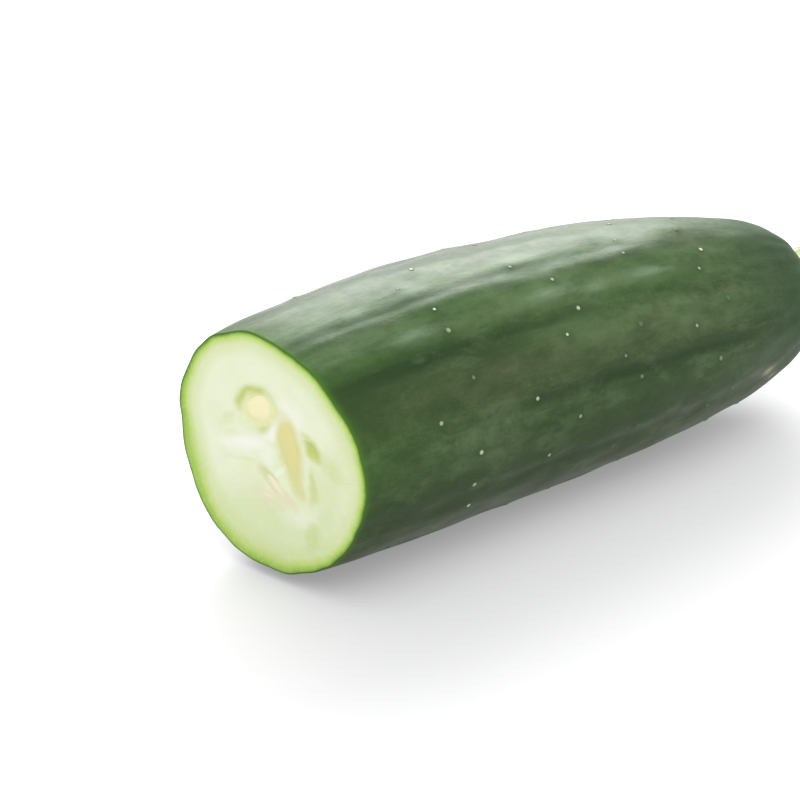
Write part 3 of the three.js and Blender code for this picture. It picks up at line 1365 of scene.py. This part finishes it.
    def place(self, around: Values, forward: Values) -> tuple[Values, dict[str, Values]]:
        """Rolls the sheet: places its points and stores what its material reads.

        Args:
            around: Shares of the way round the fruit.
            forward: Shares of the way from the cut's edge to the tip.

        Returns:
            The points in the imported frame, and the stored values.
        """
        form = self.form
        angle = around * 2.0 * math.pi
        row = np.rint(forward * (self.body_rows + self.dome_rows))
        start = form.cut_start(angle, self.relief)
        along = self.row_places(row, start)
        swell = self.wart_swell * self.near_warts(along, angle, self.wart_spread)
        points = form.skin(along, angle, self.relief(along, angle) + swell)
        inward = form.cut_middle - points
        inward /= np.maximum(np.linalg.norm(inward, axis=1, keepdims=True), 1e-9)
        tuck = np.array(self.edge_tucks)[np.minimum(row, len(self.edge_tucks) - 1).astype(int)]
        points = form.placed(points + inward * tuck[:, None])
        points[:, 2] = np.maximum(points[:, 2], 0.0)
        return points, self.shares(along, angle, start)

    def outward(self, points: Values) -> Values:
        """Directions away from the axis.

        Args:
            points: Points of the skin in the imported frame.

        Returns:
            One direction for each point.
        """
        inner = points / MM - np.array(self.form.into_frame)
        return inner - self.form.axis(np.clip(inner[:, 0], 0.0, self.form.length * 0.8))

    def build(self) -> None:
        """Builds and dresses the skin."""
        rows = self.body_rows + self.dome_rows
        piece = rolled_sheet("peel", self.columns, rows, self.place, self.outward)
        finish_piece(piece, self.finish.make(), Slot.SKIN, FRUIT)


@dataclass
class Warts:
    """The skin's small dry warts, modelled once and copied, in millimetres."""

    form: FruitForm
    places: list[Pair]
    peel: Peel
    finish: WartFinish = WartFinish()
    sides: int = 10
    foot_radius: float = 0.95
    steps: tuple[Pair, ...] = ((0.11, 0.82), (0.09, 0.72), (0.06, 0.55), (0.02, 0.4))
    tip_from: float = 0.45
    sunk: float = 0.09
    sizes: Pair = (0.62, 0.98)
    paleness: Pair = (0.12, 1.0)
    pale_power: float = 1.6
    size_seed: int = 4711

    def model(self) -> bpy.types.Object:
        """Draws one wart up ring by ring from a disc.

        Returns:
            The wart, at the origin.
        """
        deselect()
        bpy.ops.mesh.primitive_circle_add(
            vertices=self.sides, radius=self.foot_radius, fill_type="NGON"
        )
        piece = added("wart")
        with editing(piece):
            for rise, ratio in self.steps:
                draw_up(rise, ratio)
            close_top()
        points = points_of(piece.data)
        top = points[:, 2].max()
        store(piece.data, "tip", ease(points[:, 2], self.tip_from * top, top))
        return piece

    def stand(self, along: float, angle: float, size: float, spin: float) -> Matrix:
        """Where a wart stands.

        Args:
            along: Its place on the axis.
            angle: Its angle round it.
            size: Its share of the model's size.
            spin: How far it is turned on its foot.

        Returns:
            What turns the model into the wart, in metres.
        """
        at = np.array([along]), np.array([angle])
        relief = self.peel.relief(*at) + self.peel.wart_swell
        spot = Vector(self.form.skin(*at, relief)[0])
        normal = self.form.skin_normal(along, angle)
        spot += Vector(self.form.into_frame) - normal * self.sunk
        turn = normal.to_track_quat("Z", "Y") @ Quaternion((0, 0, 1), spin)
        shape = Matrix.Translation(spot) @ turn.to_matrix().to_4x4() @ Matrix.Scale(size, 4)
        return Matrix.Scale(MM, 4) @ shape

    def build(self) -> None:
        """Builds and dresses all warts as one piece."""
        model = self.model()
        draws = Draws(self.size_seed)
        copies = []
        for along, angle in self.places:
            copy = copied(model, "warts")
            size = draws.between(*self.sizes)
            copy.data.transform(self.stand(along, angle, size, draws.between(0, math.tau)))
            pale = draws.between(*self.paleness) ** self.pale_power
            store(copy.data, "pale", np.full(len(copy.data.vertices), pale))
            copies.append(copy)
        bpy.data.objects.remove(model)
        piece = copies[0]
        pick(piece)
        for copy in copies:
            copy.select_set(True)
        bpy.ops.object.join()
        points = points_of(piece.data)
        points[:, 2] = np.maximum(points[:, 2], 0.0)
        set_points(piece.data, points)
        finish_piece(piece, self.finish.make(), Slot.SKIN, FRUIT)


@dataclass(frozen=True)
class Oval:
    """An oval on the cut face, in millimetres across and up from its middle, turned in degrees."""

    at: Pair
    length: float
    width: float
    turn: float

    def reach(self, across: Values, up: Values) -> Values:
        """How far places are from the oval's middle.

        Args:
            across: Millimetres to the right of the face's middle.
            up: Millimetres above it.

        Returns:
            One number for each place, 1 on the oval's outline.
        """
        turn = math.radians(self.turn)
        right, rise = across - self.at[0], up - self.at[1]
        lengthwise = (right * math.cos(turn) + rise * math.sin(turn)) / (self.length / 2)
        crosswise = (rise * math.cos(turn) - right * math.sin(turn)) / (self.width / 2)
        return np.hypot(lengthwise, crosswise)


@dataclass(frozen=True)
class FaceMark(Oval):
    """A patch of a tone, or only its outline, `ring` wide, on the side it faces, in degrees."""

    strength: float
    soft: float = 0.5
    ring: float = 0.0
    facing: float = 0.0

    def spread(self, across: Values, up: Values) -> Values:
        """How strong the patch is at each place.

        Args:
            across: Millimetres to the right of the face's middle.
            up: Millimetres above it.

        Returns:
            One number from 0 to the patch's strength for each place.
        """
        far = self.reach(across, up)
        if not self.ring:
            return self.strength * (1.0 - ease(far, 1.0 - self.soft, 1.0 + self.soft))
        way = np.arctan2(up - self.at[1], across - self.at[0]) - math.radians(self.facing)
        line = np.exp(-(((far - 1.0) / self.ring) ** 2))
        return self.strength * (line * ease(np.cos(way), -0.1, 0.8))


@dataclass(frozen=True)
class Pocket(Oval):
    """A wet hollow in the seed core, or a swell where its depth is below 0."""

    depth: float

    def sunk(self, across: Values, up: Values) -> Values:
        """How far the face is sunk at each place."""
        return self.depth * (1.0 - ease(self.reach(across, up), 0.35, 1.1))


FACE_MARKS: dict[FleshTone, tuple[FaceMark, ...]] = {
    FleshTone.GEL: rows_of(
        FaceMark,
        ((-1.7, 11.1), 12.6, 9.4, 33, 0.50, 0.35),
        ((6.0, 3.4), 17.0, 7.4, -74, 0.45, 0.5),
        ((18.4, 3.0), 10.0, 3.8, -32, 0.55, 0.7),
        ((14.0, -3.2), 11.0, 4.2, -88, 0.40, 0.7),
        ((-10.2, 6.0), 6.4, 3.4, 48, 0.38, 0.6),
        ((-8.4, 2.4), 5.0, 5.0, 0, 0.22, 0.7),
        ((-4.0, -3.4), 6.0, 3.0, 20, 0.22, 0.7),
    ),
    FleshTone.MOSS: rows_of(
        FaceMark,
        ((-2.0, 11.5), 10.0, 7.6, 33, 0.84, 0.5, 0.28, 128),
        ((-1.7, 11.2), 10.4, 7.8, 33, 0.30, 0.5, 0.18, 10),
        ((0.9, 7.2), 5.0, 3.0, 40, 0.62, 0.7),
        ((9.6, -3.2), 8.0, 3.4, -72, 0.42, 0.7),
        ((13.8, 5.6), 5.4, 3.6, -40, 0.85, 0.6),
        ((12.2, 7.6), 3.4, 2.2, -60, 0.45, 0.7),
        ((14.0, -3.2), 8.0, 2.2, -88, 0.42, 0.6),
        ((1.4, -4.6), 5.4, 3.0, -38, 0.55, 0.6),
        ((6.8, -8.0), 7.0, 1.4, -34, 0.35, 0.8),
        ((-6.6, -4.4), 11.0, 4.2, 8, 0.18, 0.5, 0.30, 100),
    ),
    FleshTone.PALE: rows_of(
        FaceMark,
        ((-1.0, 10.8), 9.2, 7.0, 24, 0.95, 0.25),
    ),
    FleshTone.TAN: rows_of(
        FaceMark,
        ((7.2, 4.6), 13.0, 6.2, -77, 0.90, 0.42),
        ((8.9, -0.6), 13.0, 3.8, -77, 0.72, 0.6),
    ),
    FleshTone.FIBRE: rows_of(
        FaceMark,
        ((-5.6, 1.6), 13.0, 3.0, 14, 0.90, 0.7),
        ((3.2, 7.4), 9.0, 2.8, 52, 0.85, 0.7),
        ((8.0, 13.0), 9.0, 4.2, -40, 0.50, 0.7),
        ((1.6, 0.8), 5.0, 3.8, 35, 0.55, 0.7),
        ((9.4, -12.2), 9.0, 4.0, 14, 0.85, 0.7),
        ((15.4, -8.6), 8.0, 2.4, 60, 0.40, 0.7),
        ((4.6, -2.6), 4.0, 1.2, 50, 0.50, 0.6),
    ),
    FleshTone.GREEN: rows_of(
        FaceMark,
        ((14.0, -15.4), 9.0, 5.4, 66, 0.62, 0.7),
        ((1.0, -16.0), 34.0, 15.0, 0, 0.38, 0.8),
        ((18.0, -6.0), 28.0, 8.0, 80, 0.34, 0.8),
        ((-3.0, -23.5), 34.0, 7.0, -8, 0.35, 0.7),
        ((-20.0, -8.0), 26.0, 6.0, -68, 0.30, 0.7),
    ),
    FleshTone.CREAM: rows_of(
        FaceMark,
        ((0.6, -9.4), 9.4, 6.2, -10, 0.55, 0.7),
        ((4.4, -7.0), 11.4, 3.0, -35, 0.85, 0.45),
    ),
}


@dataclass
class CutFace:
    """The cut face: flesh, a green band under the skin, and the seed core's pockets and tones.

    The larger `band` is, the narrower the green band. `low_left` and `left` are taken off it over
    their spans, so the green band is wider there.
    """

    form: FruitForm
    peel: Peel
    finish: FleshFinish = FleshFinish()
    rings: int = 92
    wave: float = 0.07
    wave_sizes: Pair = (7.0, 2.2)
    wave_shift: float = 9.0
    wave_from_rim: float = 2.5
    waver: float = 0.9
    waver_size: float = 3.2
    waver_shifts: Pair = (3.0, 57.0)
    band: float = 1.45
    low_left: float = 0.75
    low_left_way: Pair = (-0.55, -0.83)
    low_left_span: Pair = (-6.0, 26.0)
    left: float = 0.30
    left_span: Pair = (12.0, 24.0)
    pockets: tuple[Pocket, ...] = rows_of(
        Pocket,
        ((-1.9, 11.1), 12.4, 8.8, 33, 0.32),
        ((6.5, 2.8), 17.6, 7.4, -76, 0.30),
        ((1.9, -5.4), 7.2, 4.6, -42, 0.25),
        ((13.2, 5.6), 5.6, 3.2, -35, 0.45),
        ((13.4, -3.2), 7.0, 2.2, -88, 0.25),
        ((-10.2, 5.6), 6.4, 3.2, 48, 0.2),
        ((-6.1, -4.6), 10.0, 5.0, 8, -0.14),
    )

    def rim(self, angle: Values) -> Values:
        """The face's edge, where the skin's rounded edge ends.

        Args:
            angle: Angles round the axis.

        Returns:
            Millimetres across and up from the face's middle, for each angle.
        """
        start = self.form.cut_start(angle, self.peel.relief)
        edge = self.form.skin(start, angle, self.peel.relief(start, angle)) - self.form.cut_middle
        size = np.linalg.norm(edge, axis=-1, keepdims=True)
        edge = edge * (1.0 - self.peel.edge_tucks[0] / size)
        across, up, _ = self.form.cut_frame
        return np.stack([edge @ across, edge @ up], -1)

    def place(self, around: Values, outward: Values) -> tuple[Values, dict[str, Values]]:
        """Rolls the sheet into a disc: places its points and stores what its material reads.

        Args:
            around: Shares of the way round the face.
            outward: Shares of the way from the middle to the rim.

        Returns:
            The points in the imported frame, and the stored values.
        """
        rim = self.rim(around * 2.0 * math.pi)
        across, up = rim[:, 0] * outward, rim[:, 1] * outward
        tuck = self.peel.edge_tucks[0]
        inward = np.linalg.norm(rim, axis=1) * (1.0 - outward) + tuck
        flat = np.stack([across, up, np.zeros_like(up)], -1)
        wave = self.wave * ripples(flat, self.wave_sizes, self.wave_shift)
        sunk = sum(pocket.sunk(across, up) for pocket in self.pockets)
        out = (wave - sunk) * ease(inward, tuck, self.wave_from_rim)
        toward = self.low_left_way[0] * across + self.low_left_way[1] * up
        low_left = self.low_left * ease(toward, *self.low_left_span)
        left = self.left * ease(-across, *self.left_span)
        values = {"inward": inward, "band": self.band - low_left - left}
        shifts = [self.waver * ripple(flat, self.waver_size, shift) for shift in self.waver_shifts]
        for tone, marks in FACE_MARKS.items():
            strengths = [mark.spread(across + shifts[0], up + shifts[1]) for mark in marks]
            values[tone.name.lower()] = np.max(strengths, axis=0)
        return self.form.placed(self.form.on_cut(across, up, out)), values

    def outward(self, points: Values) -> Values:
        """The direction straight out of the face, for all points."""
        return self.form.cut_frame[2]

    def build(self) -> None:
        """Builds and dresses the face."""
        columns = self.peel.columns
        piece = rolled_sheet("cut_face", columns, self.rings, self.place, self.outward)
        finish_piece(piece, self.finish.make(), Slot.FLESH, FRUIT)


@dataclass(frozen=True)
class Seed(Oval):
    """A seed on the cut face, with how far it stands out and how pointed and tapered it is."""

    tone: SeedTone
    rise: float
    point: float = 0.45
    taper: float = 0.0


@dataclass
class Seeds:
    """The seeds that lie open on the cut, modelled once and copied, in millimetres."""

    form: FruitForm
    segments: int = 36
    rings: int = 20
    half_thickness: float = 0.62
    margin_power: float = 2.2
    point_span: Pair = (0.25, 1.15)
    uneven: float = 0.7
    uneven_size: float = 3.4
    uneven_shifts: Pair = (0.0, 40.0)
    seeds: tuple[Seed, ...] = rows_of(
        Seed,
        ((-1.1, 10.9), 10.0, 7.6, 24, SeedTone.PALE, 0.16, 0.16),
        ((7.2, 4.3), 20.0, 6.6, -77, SeedTone.TAN, 0.12, 0.55, 0.45),
        ((4.3, -6.8), 12.0, 3.6, -36, SeedTone.CREAM, 0.13, 0.5),
        ((1.2, -9.4), 8.4, 4.6, 4, SeedTone.CREAM, 0.06),
    )

    def model(self) -> bpy.types.Object:
        """Presses a ball flat, with a thin margin.

        Returns:
            The seed, at the origin and one unit in half length.
        """
        deselect()
        bpy.ops.mesh.primitive_uv_sphere_add(
            segments=self.segments, ring_count=self.rings, radius=1.0
        )
        piece = added("seed")
        points = points_of(piece.data)
        store(piece.data, "edge", np.hypot(points[:, 0], points[:, 1]))
        points[:, 2] = np.sign(points[:, 2]) * np.abs(points[:, 2]) ** self.margin_power
        set_points(piece.data, points)
        return piece

    def shaped(self, points: Values, seed: Seed, number: int) -> Values:
        """Gives the model's points one seed's form.

        Args:
            points: The model's points.
            seed: The seed.
            number: Its number, for its own unevenness.

        Returns:
            The seed's points round its middle.
        """
        pointed = 1.0 - seed.point * ease(np.abs(points[:, 0]), *self.point_span)
        points[:, 1] *= pointed * (1.0 - seed.taper * points[:, 0])
        points *= [seed.length / 2, seed.width / 2, self.half_thickness]
        shifts = [shift + number for shift in self.uneven_shifts]
        sways = [ripple(points, self.uneven_size, shift) for shift in shifts]
        points[:, :2] += self.uneven * np.stack(sways, -1)
        return points

    def build(self) -> None:
        """Builds and dresses each seed."""
        model = self.model()
        onto_face = Matrix(np.column_stack(self.form.cut_frame).tolist()).to_4x4()
        for number, seed in enumerate(self.seeds, 1):
            piece = copied(model, f"seed_{number}")
            set_points(piece.data, self.shaped(points_of(piece.data), seed, number))
            across, up = np.array(seed.at)
            middle = self.form.on_cut(across, up, seed.rise - self.half_thickness)
            spot = Matrix.Translation(Vector(middle) + Vector(self.form.into_frame))
            turn = Matrix.Rotation(math.radians(seed.turn), 4, "Z")
            piece.data.transform(Matrix.Scale(MM, 4) @ spot @ onto_face @ turn)
            finish_piece(piece, SeedFinish(seed.tone).make(), Slot.SEED, FRUIT)
        bpy.data.objects.remove(model)


@dataclass
class StemStub:
    """What is left of the stem, in millimetres.

    It is a ridged stub that flares into the fruit and bends upwards. Its cut end is inset ring by
    ring, each with a width and a rise, and the end's tones change over the spans below.
    """

    form: FruitForm
    finish: StemFinish = StemFinish()
    length: float = 12.0
    radius: float = 3.7
    flare: float = 1.1
    ridges: int = 5
    ridge: float = 0.3
    set_in: float = 1.5
    bend: float = 1.0
    direction: Triple = (1.0, 0.02, 0.12)
    sides: int = 60
    rings: int = 22
    insets: tuple[Pair, ...] = ((0.25, 0.12), (0.5, -0.1), (0.8, -0.25), (0.9, 0.0))
    ragged: float = 0.16
    ragged_size: float = 1.1
    top_span: Pair = (1.2, 0.2)
    cut_span: Pair = (2.6, 3.6)
    rim_span: Pair = (2.4, 3.5)

    def ring_radius(self, height: float) -> float:
        """The plain radius at a height above the stub's root."""
        return float(self.radius + self.flare * np.exp(-height / self.radius))

    def model(self) -> bpy.types.Object:
        """Draws the plain stub up ring by ring from a disc, and insets its cut end.

        Returns:
            The stub, on the origin.
        """
        step = self.length / self.rings
        deselect()
        bpy.ops.mesh.primitive_circle_add(
            vertices=self.sides, radius=self.ring_radius(0.0), fill_type="NGON"
        )
        piece = added("stem")
        with editing(piece):
            for ring in range(self.rings):
                draw_up(step, self.ring_radius((ring + 1) * step) / self.ring_radius(ring * step))
            for inset, rise in self.insets:
                bpy.ops.mesh.inset(thickness=inset)
                bpy.ops.transform.translate(value=(0, 0, rise))
            close_top()
        return piece

    def ridged(self, points: Values) -> Values:
        """Draws the plain stub's points out into ridges, and bends them upwards.

        Args:
            points: The plain stub's points.

        Returns:
            Their new places.
        """
        angle = np.arctan2(points[:, 1], points[:, 0])
        share = np.clip(np.hypot(points[:, 0], points[:, 1]) / self.radius, 0.0, 1.0)
        ragged = self.ragged * ripple(points, self.ragged_size) * share
        scale = 1.0 + (self.ridge * np.cos(self.ridges * angle) + ragged) / self.radius * share
        bend = self.bend * (points[:, 2] / self.length) ** 2
        return np.stack([points[:, 0] * scale, points[:, 1] * scale + bend, points[:, 2]], -1)

    def build(self) -> None:
        """Builds and dresses the stub."""
        piece = self.model()
        points = points_of(piece.data)
        height, far = points[:, 2], np.hypot(points[:, 0], points[:, 1])
        top = ease(height, self.length - self.top_span[0], self.length - self.top_span[1])
        store(piece.data, "up_stem", height / self.length)
        store(piece.data, "cut_end", top * (1.0 - ease(far, *self.cut_span)))
        store(piece.data, "end_rim", top * ease(far, *self.rim_span))
        set_points(piece.data, self.ridged(points))
        ahead = Vector(self.direction).normalized()
        side = Vector((0, 0, 1)).cross(ahead).normalized()
        turn = Matrix((side, ahead.cross(side), ahead)).transposed().to_4x4()
        spot = Matrix.Translation(Vector(self.form.tip) + Vector(self.form.into_frame))
        root = Matrix.Translation((0, 0, -self.set_in))
        piece.data.transform(Matrix.Scale(MM, 4) @ spot @ turn @ root)
        finish_piece(piece, self.finish.make(), Slot.STEM, STEM_STUB)


@dataclass(frozen=True)
class SoftLight:
    """A large soft light that looks at the object, from an azimuth and an elevation in degrees."""

    name: str
    azimuth: float
    elevation: float
    distance: float
    size: Pair
    brightness: float
    mirrored: bool = True
    lighting: bool = True

    def build(self, target: Vector, way: Vector) -> None:
        """Adds the light.

        Args:
            target: What it looks at, in metres.
            way: The direction from there to the light.
        """
        deselect()
        bpy.ops.object.light_add(type="AREA", location=target + way * self.distance)
        lamp = bpy.context.object
        lamp.name = self.name
        lamp.rotation_euler = way.to_track_quat("Z", "Y").to_euler()
        lamp.data.shape = "RECTANGLE"
        lamp.data.size, lamp.data.size_y = self.size
        lamp.data.energy = self.brightness * math.pi * self.size[0] * self.size[1]
        lamp.visible_glossy = self.mirrored
        lamp.visible_diffuse = self.lighting


@dataclass
class Studio:
    """The pale floor, the soft lights and the camera."""

    finish: FloorFinish = FloorFinish()
    floor_size: float = 1.5
    target: Triple = (-37.55, 10.83, 25.37)
    azimuth: float = -33.806
    elevation: float = 27.594
    distance: float = 362.9
    focal_pixels: float = 1499.8
    picture: float = 800.0
    sensor: float = 36.0
    nearest: float = 0.01
    world_light: float = 1.05
    lights: tuple[SoftLight, ...] = rows_of(
        SoftLight,
        ("key_light", 158.0, 42.0, 1.0, (0.9, 0.6), 6.2, False),
        ("back_light", 143.5, 37.5, 1.0, (0.75, 0.55), 7.8, True, False),
        ("low_light", 150.0, 9.5, 1.6, (1.2, 0.5), 0.9, True, False),
        ("fill_light", -34.0, 66.0, 1.0, (0.9, 0.8), 2.25, False),
    )

    def way(self, azimuth: float, elevation: float) -> Vector:
        """The direction from the object towards a viewer.

        Args:
            azimuth: The viewer's azimuth, in degrees.
            elevation: The viewer's elevation, in degrees.

        Returns:
            A direction of length 1.
        """
        turn, lift = math.radians(azimuth), math.radians(elevation)
        level = math.cos(lift)
        return Vector((math.sin(turn) * level, -math.cos(turn) * level, math.sin(lift)))

    def build_floor(self) -> None:
        """The floor, which isn't part of the object."""
        deselect()
        bpy.ops.mesh.primitive_plane_add(size=self.floor_size)
        floor = added("floor")
        with editing(floor):
            bpy.ops.mesh.subdivide(number_cuts=3)
        floor.data.materials.append(self.finish.make())

    def build_light(self) -> None:
        """The soft lights and an even pale surround."""
        world = bpy.data.worlds.new("surround")
        world.use_nodes = True
        shade = world.node_tree.nodes["Background"]
        shade.inputs["Color"].default_value = (1.0, 1.0, 1.0, 1.0)
        shade.inputs["Strength"].default_value = self.world_light
        bpy.context.scene.world = world
        target = Vector(self.target) * MM
        for light in self.lights:
            light.build(target, self.way(light.azimuth, light.elevation))

    def build_camera(self) -> None:
        """The camera at the photograph's angle."""
        back = self.way(self.azimuth, self.elevation)
        target = Vector(self.target) * MM
        deselect()
        bpy.ops.object.camera_add(location=target + back * self.distance * MM)
        camera = bpy.context.object
        camera.rotation_euler = back.to_track_quat("Z", "Y").to_euler()
        camera.data.sensor_width = self.sensor
        camera.data.lens = self.focal_pixels * self.sensor / self.picture
        camera.data.clip_start = self.nearest
        bpy.context.scene.camera = camera

    def build(self) -> None:
        """Builds the whole studio."""
        self.build_floor()
        self.build_light()
        self.build_camera()
        bpy.context.scene.view_settings.view_transform = "Standard"
        LOG.info("studio: floor, light and camera")


def main() -> None:
    """Builds the cucumber's pieces and the studio in order."""
    logging.basicConfig(level=logging.INFO, format="%(name)s %(message)s")
    Studio().build()
    form = FruitForm()
    warts = WartRow().places(form)
    peel = Peel(form, warts)
    peel.build()
    Warts(form, warts, peel).build()
    CutFace(form, peel).build()
    Seeds(form).build()
    StemStub(form).build()


if __name__ == "__main__":
    main()
